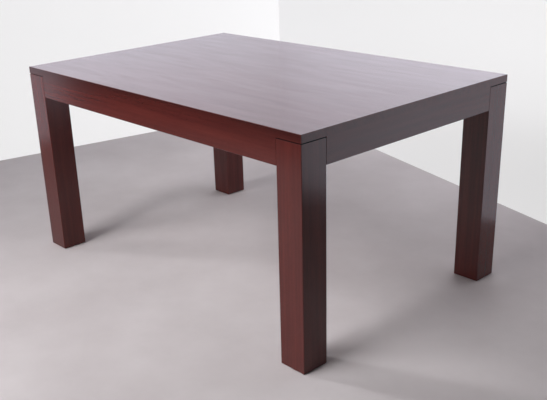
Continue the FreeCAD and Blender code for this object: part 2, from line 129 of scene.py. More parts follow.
def noise(tree, place, scale, detail, roughness=0.5, distortion=0.0):
    return step(tree, "TexNoise", {"Vector": place, "Scale": scale, "Detail": detail, "Roughness": roughness,
                                   "Distortion": distortion}).outputs["Fac"]


def spread(tree, value, low, high, start=0.0, end=1.0, curve="LINEAR"):
    """The range from start to end laid over low to high."""
    ends = {"From Min": start, "From Max": end, "To Min": low, "To Max": high}
    return step(tree, "MapRange", {"Value": value, **ends}, interpolation_type=curve).outputs[0]


def along(tree, vector, direction):
    """How far a vector goes along a direction."""
    return step(tree, "VectorMath", {0: vector, 1: direction}, operation="DOT_PRODUCT").outputs["Value"]


def product(tree, first, second):
    return step(tree, "Math", {0: first, 1: second}, operation="MULTIPLY").outputs[0]


def weighted(tree, *parts):
    """The sum of several numbers, each times its weight."""
    total = 0.0
    for value, weight in parts:
        total = step(tree, "Math", {0: value, 1: weight, 2: total}, operation="MULTIPLY_ADD").outputs[0]
    return total


def colours(tree, amount, stops):
    """A colour ramp from a list of places and colours."""
    ramp = step(tree, "ValToRGB", {"Fac": amount})
    bands = ramp.color_ramp.elements
    while len(bands) < len(stops):
        bands.new(0.5)
    for band, (place, colour) in zip(bands, stops):
        band.position = place
        band.color = (*colour, 1)
    return ramp.outputs["Color"]


def mixed(tree, amount, first, second, blend="MIX"):
    """One colour with another over it."""
    over = step(tree, "Mix", {"Factor": amount, 6: first, 7: second}, data_type="RGBA", blend_type=blend)
    return over.outputs[2]


def bumped(tree, strength, depth, relief):
    return step(tree, "Bump", {"Strength": strength, "Distance": depth, "Height": relief}).outputs[0]


helpers = (place_on_piece, noise, spread, along, product, weighted, colours, mixed, bumped)
print("helpers:", ", ".join(helper.__name__ for helper in helpers))

# %% [markdown]
# ## Mahogany
# Real boards are cut from a log, so their figure goes right through them: rings round the heart of the
# log, streaks and pores along it. A pattern in three dimensions does the same, and then the ends, edges
# and faces of a piece agree without any unwrapping. Each piece is moved to its own place in the log, and
# turned so that the log runs along it. The ripples are for the lacquer, which never dries quite even.

# %% Figure of the wood
TURN_TO_LOG = {"X": (0, 0, 0), "Y": (0, 0, -math.pi / 2), "Z": (0, math.pi / 2, 0)}
DRAWN_OUT, LESS_DRAWN_OUT = (0.05, 1, 1), (0.14, 1, 1)


def wood_figure(tree, grain, place_in_log):
    """Numbers from 0 to 1 for the rings, streaks, fibres, pores and ripples of a piece."""
    in_log = step(tree, "Mapping", {"Vector": place_on_piece(tree), "Location": place_in_log,
                                    "Rotation": TURN_TO_LOG[grain]}).outputs[0]
    long, shorter = (step(tree, "VectorMath", {0: in_log, 1: shrink}, operation="MULTIPLY").outputs[0]
                     for shrink in (DRAWN_OUT, LESS_DRAWN_OUT))
    rings = step(tree, "TexWave", {"Vector": long, "Scale": 26, "Distortion": 5, "Detail": 3,
                                   "Detail Scale": 1.2, "Detail Roughness": 0.55},
                 wave_type="RINGS", rings_direction="X").outputs["Fac"]
    streaks = noise(tree, long, scale=38, detail=5, roughness=0.62)
    fibres = noise(tree, long, scale=420, detail=3, roughness=0.6)
    pores = spread(tree, noise(tree, long, scale=1500, detail=1), 0, 1, start=0.58, end=0.7)
    ripples = noise(tree, shorter, scale=19, detail=6, roughness=0.68, distortion=0.7)
    return rings, streaks, fibres, pores, ripples


print("a log may run along", ", ".join(TURN_TO_LOG))

# %% [markdown]
# ## Where a finish changes
# A finisher doesn't treat a whole piece alike. The faces that look into the table get only a thin wash of
# stain and hardly any lacquer. A darker band of painted shade runs along the upper edge of the long sides,
# and the groove round the head of each leg is painted nearly black as shade. Which way a face looks and how
# high it lies tell these places apart, so one finish serves a whole piece.

# %% Faces and heights
# The second number is how far down from the top the band of painted shade reaches on the long sides.
TABLE_HEIGHT, SHADE_BAND_DEPTH, LEG_SHOULDER = 0.75, 0.05, 0.722


def height_above(tree, start, end):
    """0 up to one height and 1 from another, with an even ramp between them."""
    height = step(tree, "SeparateXYZ", {0: place_on_piece(tree)}).outputs["Z"]
    return spread(tree, height, 0, 1, start, end)


def facing(tree, direction):
    """1 on faces that look along a direction and 0 on the others."""
    looks = step(tree, "NewGeometry", {}).outputs["Normal"]
    return spread(tree, along(tree, looks, direction), 0, 1, start=0.8, end=0.95)


# Above the first height the long sides carry painted shade, and above the second the leg grooves do.
print("stain gathers above", TABLE_HEIGHT - SHADE_BAND_DEPTH, "m, and in the grooves above", LEG_SHOULDER, "m")

# %% [markdown]
# ## Stain and lacquer
# The outside is stained a deep red brown and sprayed with a satin lacquer. Stain evens the wood out, and
# the pores keep the most of it. The lacquer is a clear coat over the wood, so the shader's own coat does
# that part: it mirrors softly, and strongly at low angles. The wood below has no shine of its own.

# %% Lacquered mahogany
DEEP_STAIN = [(0.3, (0.055, 0.0089, 0.0072)), (0.5, (0.078, 0.0125, 0.01)), (0.7, (0.104, 0.0172, 0.0132))]
THIN_WASH = [(0.25, (0.095, 0.03, 0.017)), (0.5, (0.15, 0.052, 0.03)), (0.75, (0.205, 0.08, 0.046))]
# The second colour is painted shade for the groove round each leg head.
PORE_STAIN, GROOVE_SHADE = (0.02, 0.006, 0.005, 1), (0.004, 0.002, 0.002, 1)
# A darker, slightly bluish multiplier for the band along the top of the long sides: painted shade.
EDGE_SHADE = (0.46, 0.54, 0.58, 1)


def lacquered_mahogany(name, grain, place_in_log, inner_face=(0, 0, 0), shaded_edges=(), grooved=False,
                       thinnest=0.95):
    finish, tree, surface = blank_finish(name)
    rings, streaks, fibres, pores, ripples = wood_figure(tree, grain, place_in_log)
    figure = weighted(tree, (rings, 0.06), (streaks, 0.64), (fibres, 0.30))
    colour = colours(tree, figure, DEEP_STAIN)
    # Painted shade: the long outer faces turn darker over their top few centimetres.
    shade_band = height_above(tree, TABLE_HEIGHT - SHADE_BAND_DEPTH, TABLE_HEIGHT)
    for edge in shaded_edges:
        colour = mixed(tree, product(tree, shade_band, facing(tree, edge)), colour, EDGE_SHADE, "MULTIPLY")
    inside = facing(tree, inner_face)
    colour = mixed(tree, inside, colour, colours(tree, figure, THIN_WASH))
    colour = mixed(tree, product(tree, pores, 0.45), colour, PORE_STAIN)
    sprayed = spread(tree, ripples, thinnest, 1.0, start=0.3, end=0.62)
    coat = product(tree, sprayed, spread(tree, inside, 1.0, 0.15))
    # Painted shade: the groove round the leg head is coloured nearly black and given little lacquer, where it
    # lies in shade.
    if grooved:
        in_groove = height_above(tree, LEG_SHOULDER - 0.0006, LEG_SHOULDER - 0.0001)
        colour = mixed(tree, in_groove, colour, GROOVE_SHADE)
        coat = product(tree, coat, spread(tree, in_groove, 1.0, 0.1))
    relief = weighted(tree, (fibres, 0.4), (pores, -0.6))
    fill(tree, surface, {
        "Base Color": colour, "Roughness": spread(tree, fibres, 0.38, 0.52), "Specular IOR Level": 0.0,
        "Normal": bumped(tree, 0.06, 0.0004, relief),
        "Coat Weight": coat, "Coat Roughness": 0.18, "Coat IOR": 1.45})
    return finish


print("stain from", DEEP_STAIN[0][1], "to", DEEP_STAIN[-1][1])

# %% [markdown]
# ## Dressing the outside
# Boards and long aprons run along X, short aprons along Y and legs along Z. The boards were sprayed lying
# flat, where the lacquer pools a little, so theirs is the least even.

# %% Dress the outside
def dress(node, finish):
    nodes[node].material_slots[0].material = finish


LONG_EDGES = [(0, 1, 0), (0, -1, 0)]
BOARDS = [name for name in sorted(nodes) if name.startswith("top_board")]
for number, name in enumerate(BOARDS):
    place_in_log = (1.7 * number, 0.05 * (number % 3), -0.9 + 0.04 * number)
    dress(name, lacquered_mahogany(f"lacquered_{name}", "X", place_in_log, inner_face=(0, 0, -1),
                                   shaded_edges=LONG_EDGES, thinnest=0.89))
APRONS = {"front_apron": ("X", (0, 1, 0)), "back_apron": ("X", (0, -1, 0)),
          "left_apron": ("Y", (1, 0, 0)), "right_apron": ("Y", (-1, 0, 0))}
for number, (name, (grain, inner_face)) in enumerate(APRONS.items()):
    outer_face = tuple(-part for part in inner_face)
    shaded_edges = [outer_face] if outer_face in LONG_EDGES else []
    place_in_log = (0.9 * number, 0.3, -0.5)
    dress(name, lacquered_mahogany(f"lacquered_{name}", grain, place_in_log, inner_face, shaded_edges))
CORNERS = {"front_left": (-1, -1), "front_right": (1, -1), "back_right": (1, 1), "back_left": (-1, 1)}
for number, corner in enumerate(CORNERS):
    dress(f"leg_{corner}", lacquered_mahogany(f"lacquered_leg_{corner}", "Z", (1.3 * number, 0.2, 0.1),
                                              grooved=True))
print(len(BOARDS) + len(APRONS) + len(CORNERS), "pieces lacquered")

# %% [markdown]
# ## Wood that isn't seen
# Corner blocks, cross rails and glue blocks hold the table together from inside. They are sawn from the
# same timber, planed, and sealed with one thin coat, so they stay paler and duller than the outside. The
# figure is the same as before. Only the colours change, and the bump is stronger because no lacquer fills
# the pores.

# %% Sealed mahogany
PLANED = [(0.25, (0.20, 0.085, 0.045)), (0.50, (0.30, 0.14, 0.08)), (0.75, (0.39, 0.20, 0.12))]
BARE_PORES = (0.10, 0.04, 0.022, 1)
TURN_TO_LOG["rising"] = (0, 0, -math.pi / 4)
TURN_TO_LOG["falling"] = (0, 0, math.pi / 4)


def sealed_mahogany(name, grain, place_in_log):
    finish, tree, surface = blank_finish(name)
    rings, streaks, fibres, pores, _ = wood_figure(tree, grain, place_in_log)
    figure = weighted(tree, (rings, 0.25), (streaks, 0.45), (fibres, 0.30))
    colour = mixed(tree, product(tree, pores, 0.6), colours(tree, figure, PLANED), BARE_PORES)
    relief = weighted(tree, (fibres, 0.6), (pores, -0.8))
    fill(tree, surface, {
        "Base Color": colour, "Roughness": spread(tree, fibres, 0.5, 0.68), "Specular IOR Level": 0.35,
        "Normal": bumped(tree, 0.35, 0.0005, relief)})
    return finish


INSIDE_GRAIN = {
    "corner_block_front_left": "falling", "corner_block_front_right": "rising",
    "corner_block_back_right": "falling", "corner_block_back_left": "rising",
    "cross_rail_left": "Y", "cross_rail_right": "Y",
    "glue_blocks_front": "X", "glue_blocks_back": "X", "glue_blocks_left": "Y", "glue_blocks_right": "Y",
}
for number, (name, grain) in enumerate(INSIDE_GRAIN.items()):
    dress(name, sealed_mahogany(f"sealed_{name}", grain, (0.7 * number, 0.12, 0.25 + 0.03 * number)))
print(len(INSIDE_GRAIN), "inside pieces sealed")

# %% [markdown]
# ## Steel and nylon
# Bolts, nuts, washers and screws are steel plated with zinc, a pale metal that dulls in clouds. The
# glides under the feet are moulded nylon, dark brown and a little waxy. Both finishes need only soft
# noise: large for the clouds of the plating, small for the skin of the moulding.

# %% Zinc plate and nylon
ZINC_CLOUDS = [(0.3, (0.44, 0.45, 0.47)), (0.5, (0.58, 0.59, 0.60)), (0.7, (0.63, 0.62, 0.58))]
NYLON_CLOUDS = [(0.35, (0.045, 0.033, 0.028)), (0.65, (0.075, 0.057, 0.05))]


def zinc_plate():
    finish, tree, surface = blank_finish("zinc_plate")
    place = place_on_piece(tree)
    clouds = noise(tree, place, scale=220, detail=4, roughness=0.6)
    scuffs = noise(tree, place, scale=2600, detail=2)
    dullness = weighted(tree, (clouds, 0.25), (scuffs, 0.25))
    fill(tree, surface, {
        "Base Color": colours(tree, clouds, ZINC_CLOUDS), "Metallic": 1.0,
        "Roughness": spread(tree, dullness, 0.2, 0.5, end=0.5), "Normal": bumped(tree, 0.1, 0.0001, scuffs)})
    return finish


def moulded_nylon():
    finish, tree, surface = blank_finish("brown_nylon")
    place = place_on_piece(tree)
    skin = noise(tree, place, scale=1800, detail=3, roughness=0.6)
    clouds = noise(tree, place, scale=160, detail=3)
    fill(tree, surface, {
        "Base Color": colours(tree, clouds, NYLON_CLOUDS), "Roughness": spread(tree, skin, 0.36, 0.6),
        "Normal": bumped(tree, 0.2, 0.0001, skin)})
    return finish


ZINC = zinc_plate()
NYLON = moulded_nylon()
print("finishes", ZINC.name, "and", NYLON.name)

# %% [markdown]
# ## Turned pieces
# A bolt, a glide or the head of a screw is round, so half of its outline says everything. The outline
# starts as a plane melted to a single point. The point is extruded from place to place, and the line is
# spun round the upright axis. An outline that starts and ends on the axis gives a closed shape once the
# points there are merged. Outlines are lists of radius and height in millimetres.

# %% Draw an outline and turn it
MM = 0.001


def close_shape():
    """Merge points that lie on each other and turn the faces outwards, in edit mode."""
    bpy.ops.mesh.select_all(action="SELECT")
    bpy.ops.mesh.remove_doubles(threshold=0.002 * MM)
    bpy.ops.mesh.normals_make_consistent(inside=False)


def drawn_outline(name, outline):
    """A line through the places of an outline."""
    bpy.ops.object.select_all(action="DESELECT")
    bpy.ops.mesh.primitive_plane_add(size=MM)
    piece = bpy.context.object
    piece.name = name
    bpy.ops.object.mode_set(mode="EDIT")
    bpy.ops.mesh.merge(type="CENTER")
    bpy.ops.transform.translate(value=(outline[0][0] * MM, 0, outline[0][1] * MM))
    for (radius, height), (next_radius, next_height) in zip(outline, outline[1:]):
        go = ((next_radius - radius) * MM, 0, (next_height - height) * MM)
        bpy.ops.mesh.extrude_region_move(TRANSFORM_OT_translate={"value": go})
    bpy.ops.object.mode_set(mode="OBJECT")
    return piece


def turned(name, outline, steps=32):
    piece = drawn_outline(name, outline)
    bpy.ops.object.mode_set(mode="EDIT")
    bpy.ops.mesh.select_all(action="SELECT")
    bpy.ops.mesh.spin(steps=steps, angle=2 * math.pi, center=(0, 0, 0), axis=(0, 0, 1))
    close_shape()
    bpy.ops.object.mode_set(mode="OBJECT")
    return piece


GLIDE_PAD = [(0, 0), (13.4, 0), (14.3, 0.2), (14.85, 0.7), (15, 1.4), (15, 2.6), (14.8, 2.9), (14.4, 3)]
GLIDE_STEM = [(4, 3), (3.7, 5), (4, 6), (3.6, 7.4), (4, 8.4), (3.5, 9.8), (4, 10.8), (3.4, 12.2), (3.6, 13.6),
              (2.6, 15), (0, 15)]
foot_glide = turned("foot_glide", GLIDE_PAD + GLIDE_STEM, 48)
print("foot glide with", len(foot_glide.data.polygons), "faces")

# %% [markdown]
# ## Threads
# A thread is one tooth drawn once and wound up a screw line, which is what the Screw modifier does. The
# wound ribbon is open at both ends, so it is cut level there and filled.

# %% Wind a thread
TURN_STEPS = 20


def pick_only(piece):
    bpy.ops.object.select_all(action="DESELECT")
    piece.select_set(True)
    bpy.context.view_layer.objects.active = piece


def wound_thread(name, tooth, pitch, bottom, top):
    """A threaded bar. The tooth is an outline whose heights go from 0 to 1 times the pitch."""
    turns = math.ceil((top - bottom) / pitch) + 2
    start = bottom - (1.5 + 0.5 / TURN_STEPS) * pitch
    bar = drawn_outline(name, [(radius, start + share * pitch) for radius, share in tooth])
    winding = bar.modifiers.new("winding", "SCREW")
    winding.axis = "Z"
    winding.screw_offset = pitch * MM
    winding.iterations = turns
    winding.steps = winding.render_steps = TURN_STEPS
    pick_only(bar)
    bpy.ops.object.modifier_apply(modifier=winding.name)
    bpy.ops.object.mode_set(mode="EDIT")
    close_shape()
    for height, keep_above in ((bottom, True), (top, False)):
        bpy.ops.mesh.select_all(action="SELECT")
        bpy.ops.mesh.bisect(plane_co=(0, 0, height * MM), plane_no=(0, 0, 1), use_fill=True,
                            threshold=0.0001 * MM, clear_inner=keep_above, clear_outer=not keep_above)
    close_shape()
    bpy.ops.object.mode_set(mode="OBJECT")
    return bar


BOLT_TOOTH = [(3.39, 0), (4, 0.44), (4, 0.56), (3.39, 1)]
LAG_TOOTH = [(2.8, 0), (2.8, 0.42), (4, 0.68), (4, 0.74), (2.8, 1)]
hanger_bolt = wound_thread("hanger_bolt", BOLT_TOOTH, pitch=1.25, bottom=2.0, top=49.5)
leg_end = wound_thread("leg_end", LAG_TOOTH, pitch=3.0, bottom=-45, top=-5.0)
print("threads with", len(hanger_bolt.data.polygons), "and", len(leg_end.data.polygons), "faces")

# %% [markdown]
# ## Hanger bolts
# A hanger bolt has a fine thread for the nut at one end and a coarse one at the other, which is driven
# into the leg. Trimming each thread with a turned bar gives the chamfer and the point, and a plain middle
# joins the two. Joining, cutting and trimming are the three ways of the Boolean modifier.

# %% Hanger bolt
def combine(piece, other, way):
    """Join, cut or trim a piece with another shape, which is then gone."""
    pick_only(piece)
    change = piece.modifiers.new(way, "BOOLEAN")
    change.operation = way
    change.solver = "EXACT"
    change.object = other
    bpy.ops.object.modifier_apply(modifier=change.name)
    bpy.data.objects.remove(other)


BOLT_CHAMFER = [(0, 0), (5, 0), (5, 48.2), (3.2, 49.6), (0, 49.6)]
LEG_END_POINT = [(0, -45), (0.4, -44.8), (4.6, -34), (4.6, 0), (0, 0)]
PLAIN_MIDDLE = [(0, -6), (3.2, -6), (3.85, -5.4), (3.85, 2.4), (3.2, 3), (0, 3)]
combine(hanger_bolt, turned("chamfer", BOLT_CHAMFER), "INTERSECT")
combine(leg_end, turned("point", LEG_END_POINT), "INTERSECT")
combine(hanger_bolt, leg_end, "UNION")
combine(hanger_bolt, turned("plain_middle", PLAIN_MIDDLE), "UNION")
print("hanger bolt with", len(hanger_bolt.data.polygons), "faces")

# %% [markdown]
# ## Nuts and washers
# A nut is a six-sided bar. Its corners are trimmed by a turned shape with slanting ends, which leaves the
# curved chamfers that real nuts have, and its hole is cut by a bar with wider mouths. The washer is a
# square plate: sheared from strip, so its edges are only slightly rounded, and punched in the middle.

# %% Nut
NUT_FLATS, NUT_HEIGHT = 13, 6.5
NUT_CORNERS = [(0, -0.1), (5.9, -0.1), (7.7, 0.9), (7.7, 5.6), (5.9, 6.6), (0, 6.6)]
NUT_HOLE = [(0, -1), (4.9, -1), (4.5, 0), (3.9, 0.6), (3.9, 5.9), (4.5, 6.5), (4.9, 7.5), (0, 7.5)]


def started(name):
    piece = bpy.context.object
    piece.name = name
    return piece


bpy.ops.object.select_all(action="DESELECT")
bpy.ops.mesh.primitive_cylinder_add(vertices=6, radius=NUT_FLATS / math.sqrt(3) * MM, depth=NUT_HEIGHT * MM,
                                    location=(0, 0, NUT_HEIGHT / 2 * MM))
bpy.ops.object.transform_apply(location=True)
bolt_nut = started("bolt_nut")
combine(bolt_nut, turned("corners", NUT_CORNERS, 44), "INTERSECT")
combine(bolt_nut, turned("hole", NUT_HOLE), "DIFFERENCE")
print("nut with", len(bolt_nut.data.polygons), "faces")

# %% Washer
WASHER_WIDTH, WASHER_HEIGHT = 24, 2
WASHER_HOLE = [(0, -1), (4.5, -1), (4.5, 0), (4.2, 0.4), (4.2, 3), (0, 3)]

bpy.ops.object.select_all(action="DESELECT")
bpy.ops.mesh.primitive_cube_add(size=MM, location=(0, 0, WASHER_HEIGHT / 2 * MM),
                                scale=(WASHER_WIDTH, WASHER_WIDTH, WASHER_HEIGHT))
bpy.ops.object.transform_apply(location=True, scale=True)
bolt_washer = started("bolt_washer")
bpy.ops.object.mode_set(mode="EDIT")
bpy.ops.mesh.select_all(action="SELECT")
bpy.ops.mesh.bevel(offset=0.35 * MM, segments=3, affect="EDGES")
bpy.ops.object.mode_set(mode="OBJECT")
combine(bolt_washer, turned("punch", WASHER_HOLE, 40), "DIFFERENCE")
print("washer with", len(bolt_washer.data.polygons), "faces")

# %% [markdown]
# ## Wood screws
# The screws have a pan head with a cross recess, a plain shank under it and a coarse thread to a gimlet
# point. The recess is cut by two crossed bars that taper towards the bottom, as the tip of the driver
# does.

# %% Wood screw
SCREW_TOOTH = [(1.3, 0), (1.3, 0.46), (2, 0.7), (2, 0.76), (1.3, 1)]
GIMLET_POINT = [(0, -40), (0.25, -39.8), (2.3, -34), (2.3, 0), (0, 0)]
PLAIN_SHANK = [(0, -13.2), (1.4, -13.2), (1.85, -12.6), (1.85, 0.6), (0, 0.6)]
PAN_HEAD = [(0, 0), (3.7, 0), (3.95, 0.2), (4, 0.6), (3.85, 1.3), (3.4, 1.9), (2.6, 2.3), (1.5, 2.46),
            (0, 2.5)]
wood_screw = wound_thread("wood_screw", SCREW_TOOTH, pitch=1.8, bottom=-40, top=-12)
combine(wood_screw, turned("gimlet", GIMLET_POINT), "INTERSECT")
combine(wood_screw, turned("plain_shank", PLAIN_SHANK), "UNION")
combine(wood_screw, turned("pan_head", PAN_HEAD), "UNION")
print("wood screw with", len(wood_screw.data.polygons), "faces")

# %% Cross recess
DRIVER_BAR, DRIVER_LEVEL, DRIVER_TAPER = (4.6, 0.9, 2.4), 2.1, 0.45
for quarter in range(2):
    bpy.ops.object.select_all(action="DESELECT")
    bpy.ops.mesh.primitive_cube_add(size=MM, location=(0, 0, DRIVER_LEVEL * MM), scale=DRIVER_BAR,
                                    rotation=(0, 0, quarter * math.pi / 2))
    bpy.ops.object.transform_apply(location=True, rotation=True, scale=True)
    driver = started("driver")
    bpy.ops.object.mode_set(mode="EDIT")
    bpy.ops.mesh.select_all(action="DESELECT")
    bpy.ops.object.mode_set(mode="OBJECT")
    for face in driver.data.polygons:
        face.select = face.normal.z < -0.5
    bpy.ops.object.mode_set(mode="EDIT")
    bpy.ops.transform.resize(value=(DRIVER_TAPER, DRIVER_TAPER, 1))
    bpy.ops.object.mode_set(mode="OBJECT")
    combine(wood_screw, driver, "DIFFERENCE")
print("with its recess", len(wood_screw.data.polygons), "faces")

# %% [markdown]
# ## Fitting them
# Each piece was modelled upright at the origin. A copy is turned so that its own up points where it
# should, put in its place, and its place is then applied to its mesh, so the object itself stays at the
# origin. The diagonals of the table run inwards from the outer corners. Two bolts per leg lie on them,
# one above the other.

# %% Fit a copy
UP = Vector((0, 0, 1))
SMOOTH_BELOW = math.radians(35)


def fit(pattern, name, place, points, roll, node, finish):
    """A copy of a piece whose own up points along points, turned by roll degrees about that line."""
    pick_only(pattern)
    bpy.ops.object.duplicate(linked=False)
    piece = started(name)
    turn = Vector(points).to_track_quat("Z", "Y").to_matrix() @ Matrix.Rotation(math.radians(roll), 3, "Z")
    piece.matrix_world = Matrix.Translation(Vector(place) * MM) @ turn.to_4x4()
    bpy.ops.object.transform_apply(location=True, rotation=True, scale=True)
    bpy.ops.object.shade_smooth_by_angle(angle=SMOOTH_BELOW)
    piece.data.materials.clear()
    piece.data.materials.append(finish)
    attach(piece, "root")
    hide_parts(node)


print("faces shade smooth where they meet at less than", round(math.degrees(SMOOTH_BELOW)), "degrees")

# %% Bolts and glides
HALF_LENGTH, HALF_WIDTH = 750, 500
LEG_WIDTH, BOLT_FLAT, BLOCK_GAP, BLOCK_THICKNESS = 100, 34, 3, 32
LEG_FLAT = LEG_WIDTH * math.sqrt(2) - BOLT_FLAT / 2
WASHER_SEAT = LEG_FLAT + BLOCK_GAP + BLOCK_THICKNESS
NUT_SEAT = WASHER_SEAT + WASHER_HEIGHT
FOOT_INSET = LEG_WIDTH / 2
BOLT_LEVELS = {"upper": 708, "lower": 672}
NUT_ROLL = 15
for corner, (x_sign, y_sign) in CORNERS.items():
    outer = Vector((x_sign * HALF_LENGTH, y_sign * HALF_WIDTH, 0))
    inwards = Vector((-x_sign, -y_sign, 0)).normalized()
    for level_name, bolt_level in BOLT_LEVELS.items():
        spot = f"{corner}_{level_name}"
        on_diagonal = outer + UP * bolt_level
        for pattern, seat, roll, node in ((hanger_bolt, LEG_FLAT, 0, "hanger_bolts"),
                                          (bolt_washer, WASHER_SEAT, 0, "bolt_washers"),
                                          (bolt_nut, NUT_SEAT, NUT_ROLL, "bolt_nuts")):
            fit(pattern, f"{pattern.name}_{spot}", on_diagonal + inwards * seat, inwards, roll, node,
                ZINC)
    under_foot = (x_sign * (HALF_LENGTH - FOOT_INSET), y_sign * (HALF_WIDTH - FOOT_INSET), 0)
    fit(foot_glide, f"foot_glide_{corner}", under_foot, UP, 0, "foot_glides", NYLON)
print("nuts", round(NUT_SEAT, 1), "mm in from the outer corners, and a glide under each foot")

# %% [markdown]
# ## Screwing it together
# Each corner block has four screws, two into each apron, and each cross rail has three that go up into
# the boards. All are the same screw. A fitter never stops two recesses at the same angle, so each copy is
# turned a bit further.

# %% Fit the screws
APRON_THICKNESS, EAR_THICKNESS = 25, 19
SCREW_INSET = APRON_THICKNESS + EAR_THICKNESS
BLOCK_REACH = WASHER_SEAT * math.sqrt(2) - APRON_THICKNESS
LONG_SIDE_SPOT = HALF_LENGTH - BLOCK_REACH + EAR_THICKNESS / 2
SHORT_SIDE_SPOT = HALF_WIDTH - BLOCK_REACH + EAR_THICKNESS / 2
SCREW_LEVELS = {"upper": 707, "lower": 673}
RAIL_SPOT, RAIL_SCREW_SEAT, RAIL_SPACING = 260, 706, 285.714
ROLL_STEP = 41

turn_of_screw = 0
for corner, (x_sign, y_sign) in CORNERS.items():
    seats = {"long": ((x_sign * LONG_SIDE_SPOT, y_sign * (HALF_WIDTH - SCREW_INSET)), (0, -y_sign, 0)),
             "short": ((x_sign * (HALF_LENGTH - SCREW_INSET), y_sign * SHORT_SIDE_SPOT), (-x_sign, 0, 0))}
    for side, (seat, inwards) in seats.items():
        for level_name, screw_level in SCREW_LEVELS.items():
            turn_of_screw += ROLL_STEP
            fit(wood_screw, f"block_screw_{corner}_{side}_{level_name}", (*seat, screw_level), inwards,
                turn_of_screw, "corner_block_screws", ZINC)
for rail, x_sign in (("left", -1), ("right", 1)):
    for row in (-1, 0, 1):
        turn_of_screw += ROLL_STEP
        under_board = (x_sign * RAIL_SPOT, row * RAIL_SPACING, RAIL_SCREW_SEAT)
        fit(wood_screw, f"rail_screw_{rail}_{row + 2}", under_board, -UP, turn_of_screw, "cross_rail_screws",
            ZINC)
for pattern in (hanger_bolt, bolt_nut, bolt_washer, wood_screw, foot_glide):
    bpy.data.objects.remove(pattern)
print(turn_of_screw // ROLL_STEP, "screws fitted")

# %% [markdown]
# ## Floor
# The room is plain: a grey floor and two pale walls that meet behind the table. They matter for the
# lacquer, which is nearly a mirror at low angles. The top shows the walls, and each leg shows wall above
# and floor below. The floor is painted with faint clouds, as any trowelled floor has them. Near the table
# it takes light and shadow from the lamps. Far from them and behind the walls it would be black, so there
# one even tone is seen instead. The floor is only there from above, so that the table can also be looked
# at from below.

# %% Where the lamps reach
ROOM_CORNER = Vector((-1.709, 1.77, 0))
WALL_ENDS = {"left_wall": Vector((-2.291, -1.48, 0)), "right_wall": Vector((2.064, 0.659, 0))}
LIT_MIDDLE, LIT_REACH, PALE_REACH, BEHIND_WALL = Vector((-0.2, 0.3, 0)), 2.25, 2.8, 0.001


def towards_table(run):
    square = Vector((run.y, -run.x, 0)).normalized()
    return -square if square.dot(ROOM_CORNER) > 0 else square


def place_in_room(tree, start):
    """The place in the room, counted from a start."""
    here = step(tree, "NewGeometry", {}).outputs["Position"]
    return step(tree, "VectorMath", {0: here, 1: start}, operation="SUBTRACT").outputs[0]


def higher(tree, first, second):
    return step(tree, "Math", {0: first, 1: second}, operation="MAXIMUM").outputs[0]


def far_from_lamps(tree):
    """0 where the lamps light the floor, and 1 far from them or behind a wall."""
    from_middle = step(tree, "VectorMath", {0: place_in_room(tree, LIT_MIDDLE)}, operation="LENGTH")
    far = spread(tree, from_middle.outputs["Value"], 0, 1, LIT_REACH, PALE_REACH, "SMOOTHSTEP")
    for end in WALL_ENDS.values():
        past_wall = along(tree, place_in_room(tree, ROOM_CORNER), -towards_table(end - ROOM_CORNER))
        far = higher(tree, far, spread(tree, past_wall, 0, 1, 0, BEHIND_WALL, "SMOOTHSTEP"))
    return far


print("the lamps light the floor up to", LIT_REACH, "m from", tuple(round(part, 1) for part in LIT_MIDDLE))

# %% Paint for the floor
FLOOR_GREY = (0.484, 0.442, 0.452), (0.566, 0.524, 0.536)
PALE_GLOW = 0.75


def plain_paint(name, dark, pale, scale):
    finish, tree, surface = blank_finish(name)
    clouds = noise(tree, place_on_piece(tree), scale, detail=6, roughness=0.6)
    clouded = colours(tree, clouds, [(0.35, dark), (0.65, pale)])
    fill(tree, surface, {"Base Color": clouded, "Roughness": 0.75})
    return finish


def seen_directly(tree):
    """1 for rays that show the room itself: from the camera, mirrored or through glass."""
    ray = step(tree, "LightPath", {}).outputs
    return higher(tree, higher(tree, ray["Is Camera Ray"], ray["Is Glossy Ray"]), ray["Is Transmission Ray"])


def front_only(tree, paint):
    """Show a paint on the front of a plane, and nothing on its back."""
    back = step(tree, "NewGeometry", {}).outputs["Backfacing"]
    clear = step(tree, "BsdfTransparent", {}).outputs[0]
    shown = step(tree, "MixShader", {0: back, 1: paint, 2: clear}).outputs[0]
    fill(tree, tree.nodes["Material Output"], {"Surface": shown})


def floor_paint():
    finish = plain_paint("floor_grey", *FLOOR_GREY, scale=1.6)
    tree = finish.node_tree
    surface = tree.nodes["Principled BSDF"]
    grey = surface.inputs["Base Color"].links[0].from_socket
    even_tone = step(tree, "Emission", {"Color": grey, "Strength": PALE_GLOW}).outputs[0]
    shown_far = product(tree, far_from_lamps(tree), seen_directly(tree))
    front_only(tree, step(tree, "MixShader", {0: shown_far, 1: surface.outputs[0], 2: even_tone}).outputs[0])
    return finish


print("floor from", FLOOR_GREY[0], "to", FLOOR_GREY[1])

# %% Floor
FLOOR_SIZE = 14
bpy.ops.object.select_all(action="DESELECT")
bpy.ops.mesh.primitive_plane_add(size=FLOOR_SIZE, location=(0, 0, 0))
floor = started("floor")
floor.data.materials.append(floor_paint())
print("floor", tuple(round(size, 1) for size in floor.dimensions))

# %% [markdown]
# ## Lit walls
# A photographer lights a white wall and lets the table mirror it. So the paint of these walls gives light
# itself. Three strengths are set apart: what the lacquer mirrors, what the floor and the wood receive,
# and what the camera sees. The first two change along the wall, from the corner of the room to its end,
# by smooth ramps, because any step would show as a line in the top. The camera sees one even strength. A
# wall is only there from its front, so that the table can also be looked at from behind.

